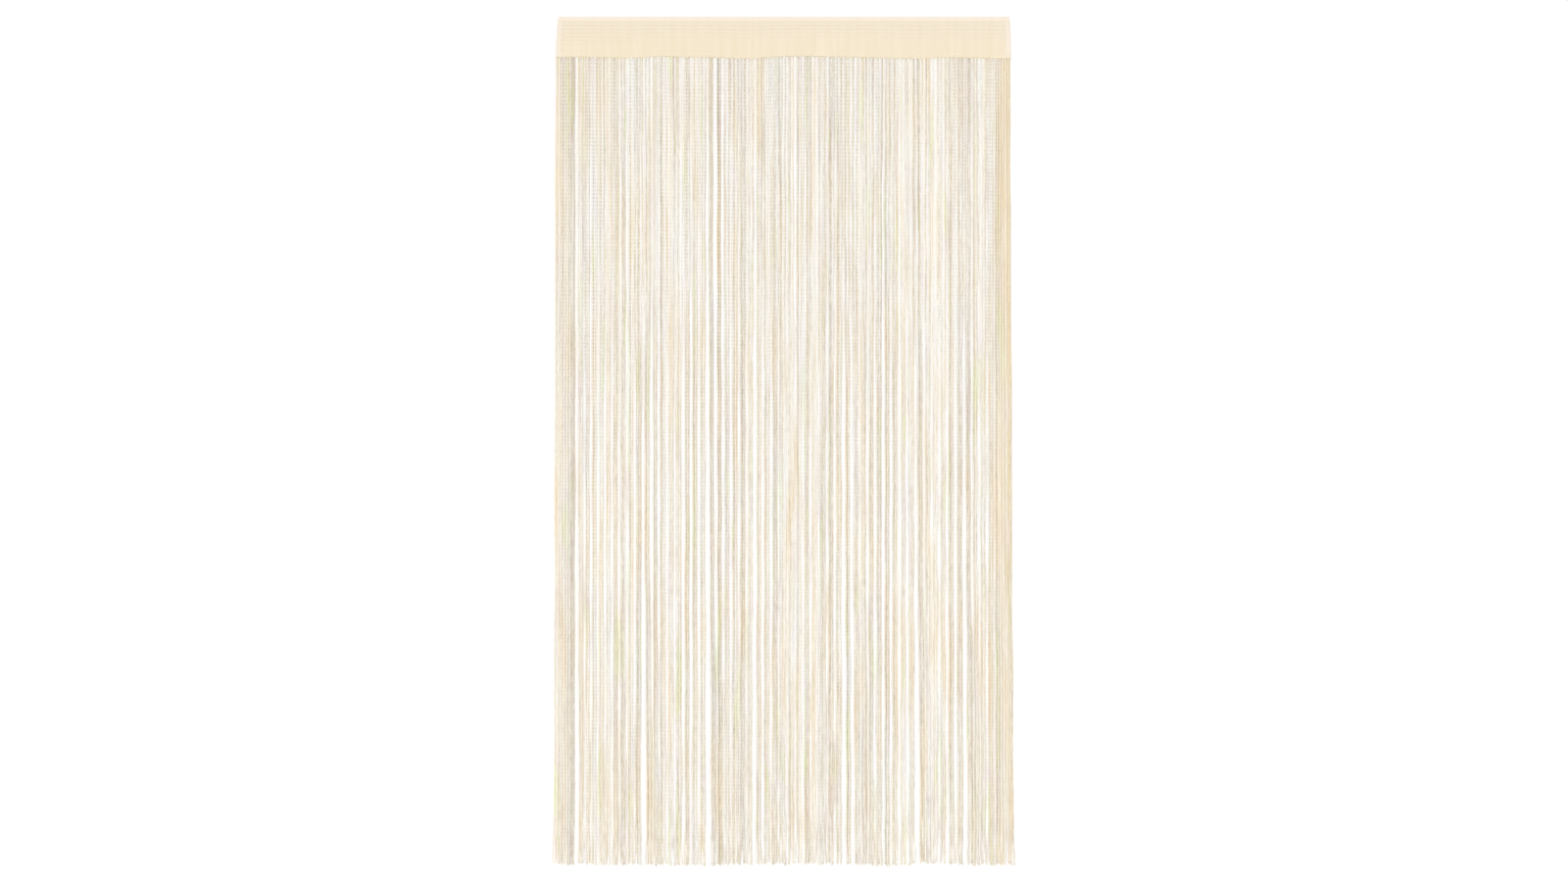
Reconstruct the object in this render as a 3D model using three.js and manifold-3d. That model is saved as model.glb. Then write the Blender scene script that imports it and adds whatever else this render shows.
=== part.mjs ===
// A string curtain: a ribbed heading with a rod pocket, and strings on a narrow tape along its lower edge.
// Millimetres, +Z up, and the front faces -Y. The origin is the middle of the heading's top edge.
// The strings stand almost evenly at the tape. Lower down they gather in locks, with slits between the locks.

import * as THREE from "three";
import { mergeVertices } from "three/addons/utils/BufferGeometryUtils.js";
import Module from "manifold-3d";

const wasm = await Module();
wasm.setup();

// Overall sizes
const DROP = 2000;
const HALF_WIDTH = 538;

// Heading: one cloth folded over at the top, its two layers sewn together below the pocket
const HEADING_HEIGHT = 91;
const WALL = 1.5;
const FOLD_RADIUS = 6;
const SEWN_HALF_THICKNESS = 1.6;
const SEWN_FROM = 70;
const POCKET_FLOOR = 64;
const POCKET_ROWS = [11, 20, 30, 40, 50];
const FOLD_STEPS = 6;
const RIB_FIRST = 18.2;
const RIB_LAST = 78;
const RIB_PITCH = 8.7;
const RIB_HEIGHT = 0.6;
const RIBS_FADE_FROM = 40;
const HEM_WIDTH = 13;
const HEM_HEIGHT = 0.6;
const HEM_EDGE = 1.5;
const CORNER_PULL = { left: 6.4, right: 4.4, depth: 80, reach: 140 };
const DRAWN_IN = { left: 2.6, right: 0.6, reach: 60 };

// Tape that holds the string ends
const PARTING = 0.3;
const TAPE_HEIGHT = 5.7;
const TAPE_HALF_THICKNESS = 2.8;
const TAPE_CHAMFER = 0.7;
const ROOT_DEPTH = 3;

// Strings
const STRING_WIDTH = 3;
const STRING_THICKNESS = 2.2;
const ROW_OFFSET = 1.35;
const OUTER_SPREAD = { left: 5.5, right: 8, reach: 60 };
const OUTER_FLICK = { strength: 4, reach: 8 };

// Places of the heading's lower edge: how far it drops below a straight line
const HEADING_EDGE = [
  { at: -470, drop: -1.2 },
  { at: -400, drop: 0 },
  { at: -350, drop: 1.2 },
  { at: -297, drop: -3.2 },
  { at: -240, drop: -1.2 },
  { at: -180, drop: -0.6 },
  { at: -125, drop: 1 },
  { at: -75, drop: 2.8 },
  { at: -30, drop: -1 },
  { at: 25, drop: -3.4 },
  { at: 80, drop: -3 },
  { at: 130, drop: -1.2 },
  { at: 200, drop: -0.6 },
  { at: 260, drop: 1 },
  { at: 335, drop: 2.6 },
  { at: 375, drop: -0.8 },
  { at: 440, drop: 0.4 },
  { at: 490, drop: 2 },
];

// Stretches of the width from left to right: their locks, a lock's strings, and how fully a lock gathers.
// Near both side edges the strings stand denser, and their locks hardly open.
const STRETCHES = [
  { from: -536.2, to: -522, locks: 1, strings: 4, gathers: 0.1 },
  { from: -522, to: -515, locks: 1, strings: 2, gathers: 0 },
  { from: -515, to: -503.4, locks: 1, strings: 4, gathers: 0.1 },
  { from: -503.4, to: -488.6, locks: 1, strings: 4, gathers: 0.25 },
  { from: -486.4, to: -387.4, locks: 6, strings: 4, gathers: 1 },
  { from: -387.4, to: 480.3, locks: 46, strings: 4, gathers: 1 },
  { from: 480.3, to: 497, locks: 1, strings: 4, gathers: 0.8 },
  { from: 497, to: 520.4, locks: 2, strings: 4, gathers: 0.1 },
  { from: 520.4, to: 536.2, locks: 1, strings: 4, gathers: 0.25 },
];

// Heights at which a string's place is set, as shares of its length. Each trait is a value and how much it
// varies: how far a lock's strings draw together, and how far a string strays sideways and stands out.
const LEVELS = [
  { name: "root", share: 0, gather: [0, 0], sideways: [0, 0], outward: [0, 0] },
  { name: "top", share: 0.2, gather: [0.02, 0.04], sideways: [0, 0.6], outward: [0.3, 0.3] },
  { name: "middle", share: 0.52, gather: [0.2, 0.06], sideways: [0, 0.4], outward: [0.9, 0.8] },
  { name: "low", share: 0.95, gather: [0.1, 0.06], sideways: [0, 0.4], outward: [0.8, 0.7] },
  { name: "end", share: 1, gather: [0.06, 0.06], sideways: [0, 0.5], outward: [1, 0.9] },
];
const ROOT_LEVEL = 0;
const END_LEVEL = LEVELS.length - 1;

// Locks that differ from the rest: how far each draws together near the heading, half way down and low down
const ODD_LOCKS = [
  { at: -478, top: 0.05, middle: 0.1, low: 0.15 },
  { at: -461, top: 0.12, middle: 0.36, low: 0.25 },
  { at: -303, top: 0.1, middle: 0.34, low: 0.2 },
  { at: -221, top: 0.08, middle: 0.36, low: 0.25 },
  { at: -170, top: 0.25, middle: 0.3, low: 0.15 },
  { at: -151, top: 0.4, middle: 0.4, low: 0.2 },
  { at: -57, top: 0.1, middle: 0.34, low: 0.28 },
  { at: 0, top: 0, middle: 0.06, low: 0.1 },
  { at: 18, top: 0.15, middle: 0.1, low: 0.1 },
  { at: 37, top: 0.1, middle: 0.08, low: 0.08 },
  { at: 75, top: 0, middle: 0.06, low: 0.05 },
  { at: 94, top: 0, middle: 0.08, low: 0.06 },
  { at: 155, top: 0.1, middle: 0.36, low: 0.28 },
  { at: 244, top: 0.08, middle: 0.34, low: 0.2 },
  { at: 451, top: 0.1, middle: 0.3, low: 0.16 },
];
const ODD_GATHER_AT_ROOT = 0.85;
const ODD_GATHER_AT_END = 0.7;

// Slits that open wider than the rest: extra width half way down and low down, and how far the slit drifts
const WIDE_SLITS = [
  { at: -486.4, middle: 1, low: 3, drift: 1 },
  { at: -329.3, middle: 0, low: 9, drift: 2 },
  { at: -178.4, middle: 3, low: 9, drift: 4 },
  { at: -65.3, middle: 1, low: 5, drift: -3 },
  { at: 142.2, middle: 3, low: 5, drift: 1 },
  { at: 161, middle: 2, low: 6, drift: 4 },
  { at: 311.9, middle: 2, low: 9, drift: 7 },
  { at: 425.1, middle: 1, low: 6, drift: 7 },
];
const SLIT_REACH = 40;
const SLIT_DRIFTED = { middle: 0.3, low: 1, end: 1 };

// How much shorter than the full drop the strings end, along the width
const STRING_ENDS = [
  { at: -540, short: 6 },
  { at: -400, short: 5 },
  { at: -345, short: 5 },
  { at: -300, short: 2 },
  { at: -220, short: 2 },
  { at: -120, short: 5 },
  { at: 100, short: 6 },
  { at: 195, short: 5 },
  { at: 225, short: 2 },
  { at: 280, short: 2 },
  { at: 325, short: 9 },
  { at: 390, short: 7 },
  { at: 465, short: 3 },
  { at: 540, short: 6 },
];
const END_VARIES = 2;
const END_FLICK = 1.1;

// Keeps the scatter of one trait apart from that of another
const SALT = { gather: 0, sideways: 10, outward: 20, flick: 30, end: 40 };

// A repeatable scatter between -1 and 1 for a counted thing, the usual sine hash
function scatter(count, salt) {
  const wave = Math.sin(count * 127.1 + salt * 311.7) * 43758.5453;
  return 2 * (wave - Math.floor(wave)) - 1;
}

function smooth(share) {
  const s = THREE.MathUtils.clamp(share, 0, 1);
  return s * s * (3 - 2 * s);
}

// Reads one column of a table whose rows stand at places along the width
function alongTable(rows, column, at) {
  const next = rows.findIndex((row) => row.at > at);
  if (next === 0) return rows[0][column];
  if (next < 0) return rows[rows.length - 1][column];
  const [a, b] = [rows[next - 1], rows[next]];
  return THREE.MathUtils.mapLinear(at, a.at, b.at, a[column], b[column]);
}

const edgeDrop = (at) => alongTable(HEADING_EDGE, "drop", at);

// Solids and meshes

function mergedPoints(geometry) {
  geometry.deleteAttribute("normal");
  geometry.deleteAttribute("uv");
  return mergeVertices(geometry, 1e-4);
}

function toSolid(geometry) {
  const merged = mergedPoints(geometry);
  const vertProperties = merged.getAttribute("position").array;
  const triVerts = new Uint32Array(merged.index.array);
  return new wasm.Manifold(new wasm.Mesh({ numProp: 3, vertProperties, triVerts }));
}

function toGeometry(solid) {
  const mesh = solid.getMesh();
  const geometry = new THREE.BufferGeometry();
  geometry.setAttribute("position", new THREE.BufferAttribute(mesh.vertProperties, 3));
  geometry.setIndex(new THREE.BufferAttribute(mesh.triVerts, 1));
  geometry.computeVertexNormals();
  return geometry;
}

// Runs an outline drawn as (depth, height) through stations along the width, and place() moves every point
function runAlongWidth(outline, stations, place) {
  const steps = stations.length - 1;
  const geometry = new THREE.ExtrudeGeometry(outline, { depth: steps, steps, bevelEnabled: false });
  const position = geometry.getAttribute("position");
  for (let i = 0; i < position.count; i++) {
    const station = stations[Math.round(position.getZ(i))];
    const { x, y, z } = place(position.getX(i), position.getY(i), station);
    position.setXYZ(i, x, y, z);
  }
  return geometry;
}

// Heading

function halfThickness(below) {
  if (below < FOLD_RADIUS) {
    return Math.sqrt(Math.max(0, FOLD_RADIUS ** 2 - (FOLD_RADIUS - below) ** 2));
  }
  const share = (below - FOLD_RADIUS) / (SEWN_FROM - FOLD_RADIUS);
  return THREE.MathUtils.lerp(FOLD_RADIUS, SEWN_HALF_THICKNESS, smooth(share));
}

// Points down one face from the fold: ribs are ridges between grooves, and they fade on the way down
function facePoints() {
  const points = [];
  for (let below = RIB_FIRST; below < RIB_LAST; below += RIB_PITCH) {
    const faded = smooth((below - RIBS_FADE_FROM) / (RIB_LAST - RIBS_FADE_FROM));
    points.push({ below: below - RIB_PITCH / 2, raised: 0 });
    points.push({ below, raised: RIB_HEIGHT * (1 - faded) });
  }
  points.push({ below: RIB_LAST, raised: 0 });
  points.push({ below: HEADING_HEIGHT, raised: 0 });
  return points;
}

function foldPoints(radius) {
  const points = [];
  for (let step = 0; step <= FOLD_STEPS; step++) {
    const turn = (Math.PI * step) / FOLD_STEPS;
    points.push([radius * Math.cos(turn), radius * Math.sin(turn) - FOLD_RADIUS]);
  }
  return points;
}

function headingOutline() {
  const face = facePoints();
  const back = face.map((p) => [halfThickness(p.below) + p.raised, -p.below]).reverse();
  const front = face.map((p) => [-halfThickness(p.below) - p.raised, -p.below]);
  const cloth = [...back, ...foldPoints(FOLD_RADIUS), ...front];
  const outline = new THREE.Shape(cloth.map(([y, z]) => new THREE.Vector2(y, z)));

  const inner = (below) => halfThickness(below) - WALL;
  const pocketBack = POCKET_ROWS.map((below) => [inner(below), -below]).reverse();
  const pocketFront = POCKET_ROWS.map((below) => [-inner(below), -below]);
  const pocket = [[0, -POCKET_FLOOR], ...pocketBack, ...foldPoints(FOLD_RADIUS - WALL), ...pocketFront];
  outline.holes.push(new THREE.Path(pocket.map(([y, z]) => new THREE.Vector2(y, z))));
  return outline;
}

// The outer corners of the heading draw in towards the top
function cornerPull(at, below) {
  const side = at < 0 ? CORNER_PULL.left : CORNER_PULL.right;
  const near = smooth((Math.abs(at) - HALF_WIDTH + CORNER_PULL.reach) / CORNER_PULL.reach);
  const high = Math.max(0, 1 - below / CORNER_PULL.depth) ** 2;
  return -Math.sign(at) * side * near * high;
}

// The ends of the heading and its tape are drawn in a little over their whole height
function drawnIn(at) {
  const side = at < 0 ? DRAWN_IN.left : DRAWN_IN.right;
  return -Math.sign(at) * side * smooth((Math.abs(at) - HALF_WIDTH + DRAWN_IN.reach) / DRAWN_IN.reach);
}

function headingStations() {
  const hemmed = HALF_WIDTH - HEM_WIDTH;
  const middle = HEADING_EDGE.map(({ at }) => ({ at, hem: false }));
  return [
    { at: -HALF_WIDTH, hem: true },
    { at: -hemmed, hem: true },
    { at: -hemmed + HEM_EDGE, hem: false },
    ...middle,
    { at: hemmed - HEM_EDGE, hem: false },
    { at: hemmed, hem: true },
    { at: HALF_WIDTH, hem: true },
  ];
}

function headingGeometry() {
  return runAlongWidth(headingOutline(), headingStations(), (across, up, { at, hem }) => {
    const below = -up;
    const half = halfThickness(below);
    const outside = Math.abs(across) > half - WALL / 2;
    const y = hem && outside ? Math.sign(across) * (half + HEM_HEIGHT) : across;
    const lowered = edgeDrop(at) * smooth(below / HEADING_HEIGHT);
    return { x: at + cornerPull(at, below) + drawnIn(at), y, z: up - lowered };
  });
}

// Tape

function tapeGeometry() {
  const top = -HEADING_HEIGHT - PARTING;
  const bottom = top - TAPE_HEIGHT;
  const wide = TAPE_HALF_THICKNESS;
  const narrow = TAPE_HALF_THICKNESS - TAPE_CHAMFER;
  const outline = new THREE.Shape();
  outline.moveTo(narrow, bottom);
  outline.lineTo(wide, bottom + TAPE_CHAMFER);
  outline.lineTo(wide, top - TAPE_CHAMFER);
  outline.lineTo(narrow, top);
  outline.lineTo(-narrow, top);
  outline.lineTo(-wide, top - TAPE_CHAMFER);
  outline.lineTo(-wide, bottom + TAPE_CHAMFER);
  outline.lineTo(-narrow, bottom);
  outline.closePath();
  return runAlongWidth(outline, headingStations(), (across, up, { at }) => {
    return { x: at + drawnIn(at), y: across, z: up - edgeDrop(at) };
  });
}

// Strings

// Every lock from left to right: its number, middle, first string, and its strings' spacing at the tape
function allLocks() {
  const locks = [];
  let firstString = 0;
  for (const stretch of STRETCHES) {
    const pitch = (stretch.to - stretch.from) / stretch.locks;
    for (let n = 0; n < stretch.locks; n++) {
      const middle = stretch.from + pitch * (n + 0.5);
      const spacing = pitch / stretch.strings;
      locks.push({ ...stretch, number: locks.length, middle, pitch, spacing, firstString });
      firstString += stretch.strings;
    }
  }
  return locks;
}

// One trait of a string or lock at a level: its value there and the scatter around it
function varied(trait, level, count) {
  const [value, varies] = LEVELS[level][trait];
  return value + varies * scatter(count, SALT[trait] + level);
}

// How far a lock's strings draw together at a level
function gatherOf(lock, level) {
  const odd = ODD_LOCKS.find((row) => Math.abs(row.at - lock.middle) < lock.pitch / 2);
  if (!odd) return lock.gathers * varied("gather", level, lock.number);
  if (level === ROOT_LEVEL) return odd.top * ODD_GATHER_AT_ROOT;
  if (level === END_LEVEL) return odd.low * ODD_GATHER_AT_END;
  return odd[LEVELS[level].name] ?? 0;
}

// How far wide slits push a lock aside at a level
function slitShift(middle, level) {
  const { name } = LEVELS[level];
  const drifted = SLIT_DRIFTED[name];
  if (drifted === undefined) return 0;
  return WIDE_SLITS.reduce((sum, slit) => {
    const away = middle - slit.at;
    const near = Math.max(0, 1 - Math.abs(away) / SLIT_REACH);
    const wider = name === "middle" ? slit.middle : slit.low;
    return sum + near * (slit.drift * drifted + (Math.sign(away) * wider) / 2);
  }, 0);
}

// How near a place is to the side edge, from 0 at the reach to 1 at the edge
function nearEdge(at, reach) {
  return smooth((Math.abs(at) - HALF_WIDTH + reach) / reach);
}

// The outermost strings drift outwards on the way down, and their ends flick outwards
function outerShift(at, level) {
  const spread = at < 0 ? OUTER_SPREAD.left : OUTER_SPREAD.right;
  const drift = spread * nearEdge(at, OUTER_SPREAD.reach) * LEVELS[level].share;
  const flick = level === END_LEVEL ? OUTER_FLICK.strength * nearEdge(at, OUTER_FLICK.reach) : 0;
  return Math.sign(at) * (drift + flick);
}

// A string's place at one level, from its lock and its place in the lock
function stringPlace(lock, place, level) {
  const stringNumber = lock.firstString + place;
  const fromMiddle = (place - (lock.strings - 1) / 2) * lock.spacing;
  const inLock = fromMiddle * (1 - gatherOf(lock, level)) + varied("sideways", level, stringNumber);
  const flick = level === END_LEVEL ? END_FLICK * scatter(stringNumber, SALT.flick) : 0;
  const outer = outerShift(lock.middle + fromMiddle, level);
  const stands = ROW_OFFSET + varied("outward", level, stringNumber);
  return {
    x: lock.middle + inLock + slitShift(lock.middle, level) + outer + flick,
    y: stringNumber % 2 === 0 ? -stands : stands,
  };
}

function stringGeometry(lock, place) {
  const root = stringPlace(lock, place, 0);
  const tapeBottom = -HEADING_HEIGHT - PARTING - TAPE_HEIGHT - edgeDrop(root.x);
  const top = tapeBottom + ROOT_DEPTH;
  const varies = END_VARIES * scatter(lock.firstString + place, SALT.end);
  const end = -DROP + Math.max(0, alongTable(STRING_ENDS, "short", root.x) + varies);

  const section = new THREE.Shape();
  section.moveTo(-STRING_WIDTH / 2, 0);
  section.lineTo(0, -STRING_THICKNESS / 2);
  section.lineTo(STRING_WIDTH / 2, 0);
  section.lineTo(0, STRING_THICKNESS / 2);
  section.closePath();

  const steps = END_LEVEL;
  const geometry = new THREE.ExtrudeGeometry(section, { depth: steps, steps, bevelEnabled: false });
  const position = geometry.getAttribute("position");
  for (let i = 0; i < position.count; i++) {
    const level = steps - Math.round(position.getZ(i));
    const { x, y } = stringPlace(lock, place, level);
    const z = level === 0 ? top : THREE.MathUtils.lerp(tapeBottom, end, LEVELS[level].share);
    position.setXYZ(i, x + position.getX(i), y + position.getY(i), z);
  }
  return geometry;
}

function stringsOnTape() {
  const solids = [toSolid(tapeGeometry())];
  for (const lock of allLocks()) {
    for (let place = 0; place < lock.strings; place++) {
      solids.push(toSolid(stringGeometry(lock, place)));
    }
  }
  return toGeometry(wasm.Manifold.union(solids));
}

// Assembly

const headingCloth = new THREE.MeshStandardMaterial({ color: "#f4e5c9", roughness: 0.85, metalness: 0 });
const stringYarn = new THREE.MeshStandardMaterial({ color: "#efe0c6", roughness: 0.8, metalness: 0 });

const heading = new THREE.Mesh(mergedPoints(headingGeometry()), headingCloth);
heading.name = "heading";

const strings = new THREE.Mesh(stringsOnTape(), stringYarn);
strings.name = "strings";

const curtain = new THREE.Group();
curtain.add(heading, strings);

export default curtain;
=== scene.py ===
# The looks of a string curtain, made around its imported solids.
# The sizes below are millimetres, and MM turns them into Blender's metres. The front faces -Y, and the
# origin is the middle of the heading's top edge. The heading, the locks, the slits and the strings' ends
# follow the same named sizes and tables as the solids do. The strings themselves are wider here, stray a
# little further sideways and end a little less evenly, so that they overlap as in the photograph.

import math

import bmesh
import bpy
import numpy as np
from mathutils import Matrix, Vector


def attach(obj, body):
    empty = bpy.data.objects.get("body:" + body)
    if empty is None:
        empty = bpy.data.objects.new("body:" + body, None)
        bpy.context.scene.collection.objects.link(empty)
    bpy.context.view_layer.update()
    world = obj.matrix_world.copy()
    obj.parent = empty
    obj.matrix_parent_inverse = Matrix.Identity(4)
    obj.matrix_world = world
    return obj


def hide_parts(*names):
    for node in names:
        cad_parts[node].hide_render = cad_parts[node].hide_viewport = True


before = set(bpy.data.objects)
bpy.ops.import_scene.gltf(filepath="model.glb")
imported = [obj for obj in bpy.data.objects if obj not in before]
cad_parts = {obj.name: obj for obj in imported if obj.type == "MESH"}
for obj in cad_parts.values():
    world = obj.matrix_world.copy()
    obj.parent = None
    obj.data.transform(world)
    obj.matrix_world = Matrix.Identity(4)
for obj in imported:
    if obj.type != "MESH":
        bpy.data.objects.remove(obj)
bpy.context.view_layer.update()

MM = 0.001

# Overall sizes
DROP = 2000
HALF_WIDTH = 538

# Heading: one knitted cloth folded over at the top and sewn together below the pocket
HEADING_HEIGHT = 91
WALL = 1.5
FOLD_RADIUS = 6
SEWN_HALF_THICKNESS = 1.6
SEWN_FROM = 70
RIB_FIRST = 18.2
RIB_PITCH = 8.7
RIB_HEIGHT = 0.6
GROOVE_POWER = 2
RIBS_FADE = {"from": 28, "to": 60, "to_at_left": 80, "reach": 260}
HEM_WIDTH = 13
HEM_HEIGHT = 0.6
HEM_EDGE = 1.5
CORNER_PULL = {"left": 6.4, "right": 4.4, "depth": 80, "reach": 140, "power": 2}
DRAWN_IN = {"left": 2.6, "right": 0.6, "reach": 60}
OVER_TAPE = {"reach": 5.2, "from": 84, "opens": 1.4}
CLOTH_STEP_ACROSS = 6
CLOTH_STEP_DOWN = 1.45
FOLD_STEPS = 6
PUCKER = {"height": 0.3, "pitch": 18.9, "reach": 45}
SCALLOP = {"height": 0.6, "pitch": 18.9, "reach": 6}

# Painted highlight along the rounded fold at the top, fading down the cloth: how much of the pale colour
# shows at distances below its top edge
FOLD_HIGHLIGHT = [
    {"at": 8, "share": 1},
    {"at": 14.5, "share": 0.35},
    {"at": 40, "share": 0.25},
    {"at": 60, "share": 0},
]

# Tape that holds the string ends, under a whipped stitch at each string
PARTING = 0.3
TAPE_HEIGHT = 5.7
TAPE_OVERHANG = 0.9
TAPE_HALF_THICKNESS = 1.3
TAPE_ROUNDING = 0.45
TAPE_SIDES = 12
TAPE_STEP = 4
ROOT_DEPTH = 3
WHIP_STITCH = {"half_size": (1.5, 0.3, 2.2), "lean": 14}
WHIP_BELOW = 95

# Chain stitch along the heading's lower edge
SEAM_BELOW = 88
SEAM_STITCH = {"half_size": (2.2, 0.35, 0.7), "lean": 10}
SEAM_STITCH_PITCH = 4.7
STITCH_FACETS = {"around": 6, "along": 4}

# Strings: chain-knit yarn with one swelling for each knitted course
ROW_OFFSET = 1.35
OUTER_SPREAD = {"left": 5.5, "right": 8, "reach": 60}
OUTER_FLICK = {"strength": 4, "reach": 8}
COURSE = 8.8
CROWN_AT = 0.56
STRING_SIDES = 4
STRING_RADIUS = 2.05
OPENS_LOW_DOWN = {"share": 0.1, "from": 0.6}
STRING_FLATNESS = 0.8
SWELLING = 0.2
COURSES_FADE = {"share": 0.58, "over": 1400}
COURSES_VARY = {"lock": 0.4, "string": 0.15, "least": 0.05, "most": 1}
FREE_FROM_SHARE = 0.12
LOCK_WANDER = {"width": 0.5, "wider_low_down": 0.4, "power": 3, "shortest": 220, "longest": 420}
STRING_WANDER = {"width": 0.25, "shortest": 140, "longest": 260}
CURL = {"width": 0.7, "from_share": 0.84, "power": 1.5, "shortest": 70, "longest": 150}
END_FITTED_OVER = 80
TIP_SHARE = 0.7
TONE_VARIES = {"lock": 0.1, "string": 0.4, "string_low_down": 0.22, "over": 1100}
INNER_IS_DARKER = {"by_gather": 1.6, "up_to": 0.4}
# The mean of 0, 1, 1 and 0: how many strings of a lock of four stand between each one and the lock's side
MEAN_FROM_SIDE = 0.5
YELLOW_FADES = {"share": 0.6, "over": 1800}
STRINGS_IN_A_PIECE = 48
STRING_PIECES = ["strings_far_left", "strings_left", "strings_middle", "strings_right", "strings_far_right"]

# Loose fibres at each cut end
FIBRES_AT_A_TIP = 14
FIBRE_LENGTH = {"shortest": 5, "longest": 12}
FIBRE_RADIUS = 0.5
FIBRE_SIDES = 3
FIBRE_LEAN = 0.35
FIBRE_ROOT = 0.9
FIBRE_SUNK = 3
# Painted shade on the loose fibres, added to their tone
FIBRE_SHADE = 0.3

# Places of the heading's lower edge: how far it drops below a straight line
HEADING_EDGE = [
    {"at": -470, "drop": -1.2},
    {"at": -400, "drop": 0},
    {"at": -350, "drop": 1.2},
    {"at": -297, "drop": -3.2},
    {"at": -240, "drop": -1.2},
    {"at": -180, "drop": -0.6},
    {"at": -125, "drop": 1},
    {"at": -75, "drop": 2.8},
    {"at": -30, "drop": -1},
    {"at": 25, "drop": -3.4},
    {"at": 80, "drop": -3},
    {"at": 130, "drop": -1.2},
    {"at": 200, "drop": -0.6},
    {"at": 260, "drop": 1},
    {"at": 335, "drop": 2.6},
    {"at": 375, "drop": -0.8},
    {"at": 440, "drop": 0.4},
    {"at": 490, "drop": 2},
]

# Stretches of the width, with how many locks each holds, of how many strings, and how far they draw together
STRETCHES = [
    {"from": -536.2, "to": -522, "locks": 1, "strings": 4, "gathers": 0.1},
    {"from": -522, "to": -515, "locks": 1, "strings": 2, "gathers": 0},
    {"from": -515, "to": -503.4, "locks": 1, "strings": 4, "gathers": 0.1},
    {"from": -503.4, "to": -488.6, "locks": 1, "strings": 4, "gathers": 0.25},
    {"from": -486.4, "to": -387.4, "locks": 6, "strings": 4, "gathers": 1},
    {"from": -387.4, "to": 480.3, "locks": 46, "strings": 4, "gathers": 1},
    {"from": 480.3, "to": 497, "locks": 1, "strings": 4, "gathers": 0.8},
    {"from": 497, "to": 508.7, "locks": 1, "strings": 4, "gathers": 0.1},
    {"from": 508.7, "to": 520.4, "locks": 1, "strings": 4, "gathers": 0.1},
    {"from": 520.4, "to": 536.2, "locks": 1, "strings": 4, "gathers": 0.25},
]

# The yarn in each of those stretches: how strong its courses are, its tone from 0 for pale to 1 for tan, and
# how yellow its cream is
STRETCH_YARN = [
    {"courses": 0.35, "tone": 0.25, "yellow": 0.4},
    {"courses": 0.55, "tone": 0.25, "yellow": 0.3},
    {"courses": 0.55, "tone": 0.4, "yellow": 0.2},
    {"courses": 0.3, "tone": 0.75, "yellow": 0},
    {"courses": 0.52, "tone": 0.4, "yellow": 0},
    {"courses": 0.42, "tone": 0.45, "yellow": 0},
    {"courses": 0.8, "tone": 0.4, "yellow": 0},
    {"courses": 0.75, "tone": 0.6, "yellow": 0.4},
    {"courses": 0.05, "tone": 0.2, "yellow": 0.6},
    {"courses": 0.2, "tone": 0.6, "yellow": 0.8},
]

# Heights at which a string's place is set, as shares of its length. Each trait is a value and how much it
# varies.
LEVELS = [
    {"name": "root", "share": 0, "gather": (0, 0), "sideways": (0, 0.8), "outward": (0, 0)},
    {"name": "top", "share": 0.2, "gather": (0.02, 0.04), "sideways": (0, 1.3), "outward": (0, 1.2)},
    {"name": "middle", "share": 0.52, "gather": (0.2, 0.06), "sideways": (0, 0.6), "outward": (0, 1.5)},
    {"name": "low", "share": 0.95, "gather": (0.1, 0.06), "sideways": (0, 0.5), "outward": (0, 1.5)},
    {"name": "end", "share": 1, "gather": (0.06, 0.06), "sideways": (0, 0.6), "outward": (0, 1.5)},
]
ROOT_LEVEL = 0
END_LEVEL = len(LEVELS) - 1

# Locks that differ from the rest: how far each draws together near the heading, half way down and low down
ODD_LOCKS = [
    {"at": -478, "top": 0.05, "middle": 0.1, "low": 0.15},
    {"at": -461, "top": 0.12, "middle": 0.36, "low": 0.25},
    {"at": -303, "top": 0.1, "middle": 0.34, "low": 0.2},
    {"at": -221, "top": 0.08, "middle": 0.36, "low": 0.25},
    {"at": -170, "top": 0.25, "middle": 0.3, "low": 0.15},
    {"at": -151, "top": 0.4, "middle": 0.4, "low": 0.2},
    {"at": -57, "top": 0.1, "middle": 0.34, "low": 0.28},
    {"at": 0, "top": 0, "middle": 0.06, "low": 0.1},
    {"at": 18, "top": 0.15, "middle": 0.1, "low": 0.1},
    {"at": 37, "top": 0.1, "middle": 0.08, "low": 0.08},
    {"at": 75, "top": 0, "middle": 0.06, "low": 0.05},
    {"at": 94, "top": 0, "middle": 0.08, "low": 0.06},
    {"at": 155, "top": 0.1, "middle": 0.36, "low": 0.28},
    {"at": 244, "top": 0.08, "middle": 0.34, "low": 0.2},
    {"at": 451, "top": 0.1, "middle": 0.3, "low": 0.16},
]
ODD_GATHER_AT_ROOT = 0.85
ODD_GATHER_AT_END = 0.7

# Slits that open wider than the rest: extra width half way down and low down, and how far the slit drifts
WIDE_SLITS = [
    {"at": -486.4, "middle": 1, "low": 3, "drift": 1},
    {"at": -329.3, "middle": 0, "low": 9, "drift": 2},
    {"at": -178.4, "middle": 3, "low": 9, "drift": 4},
    {"at": -65.3, "middle": 1, "low": 5, "drift": -3},
    {"at": 142.2, "middle": 3, "low": 5, "drift": 1},
    {"at": 161, "middle": 2, "low": 6, "drift": 4},
    {"at": 311.9, "middle": 2, "low": 9, "drift": 7},
    {"at": 425.1, "middle": 1, "low": 6, "drift": 7},
]
SLIT_REACH = 40
SLIT_DRIFTED = {"middle": 0.3, "low": 1, "end": 1}

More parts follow.
